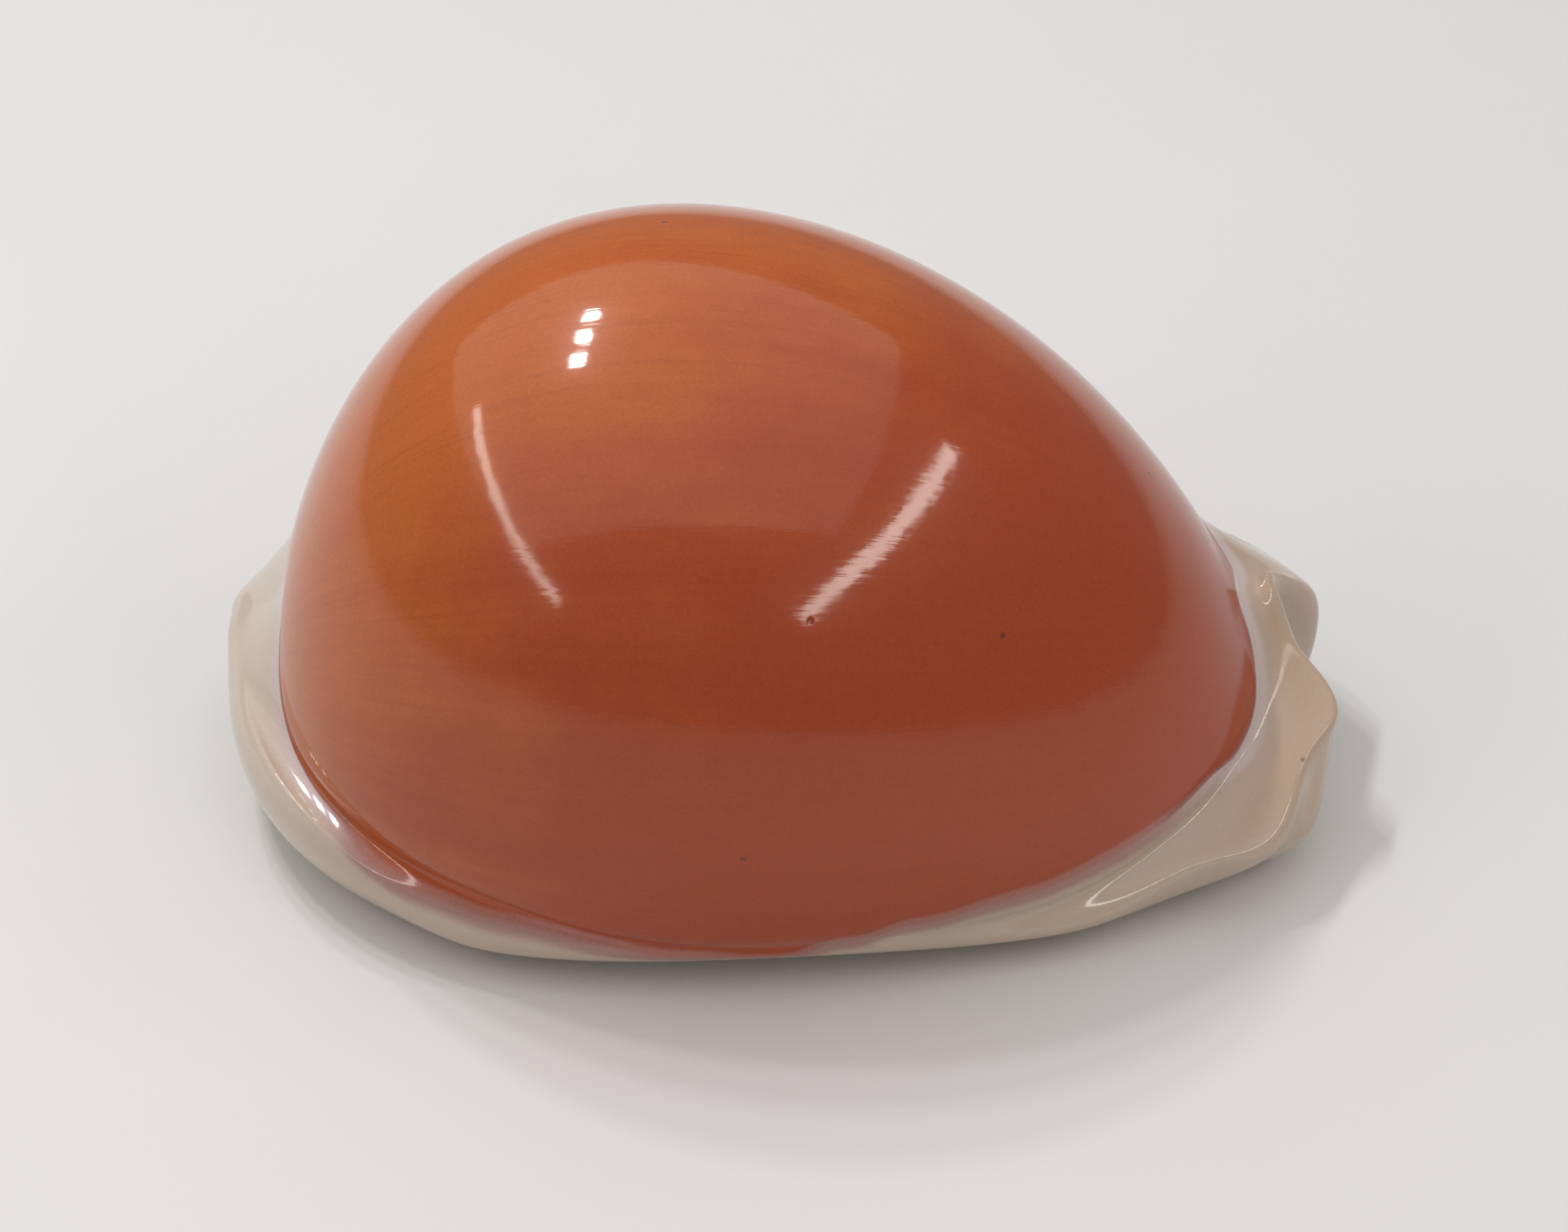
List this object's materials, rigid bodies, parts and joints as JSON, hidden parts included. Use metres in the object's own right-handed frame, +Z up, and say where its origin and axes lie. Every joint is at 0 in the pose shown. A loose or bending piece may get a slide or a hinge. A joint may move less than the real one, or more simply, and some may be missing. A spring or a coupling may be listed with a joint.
{
  "type": "cowrie shell",
  "caption": "Large glossy cowrie shell with a high rounded dome, thickened turned-up margins, a notch at each end and a long narrow toothed slit under a hollow body.",
  "frame": {"origin": "middle of the shell's outline seen from above, on the surface it rests on", "axes": "+X towards the narrower front end, +Y towards the inner lip, -Y towards the outer lip, +Z up to the top of the dome"},
  "size_m": [0.095, 0.0644, 0.0522],
  "materials": {
    "shell": "polished"
  },
  "bodies": {
    "root": {"cowrie_shell": "shell"}
  },
  "joints": []
}
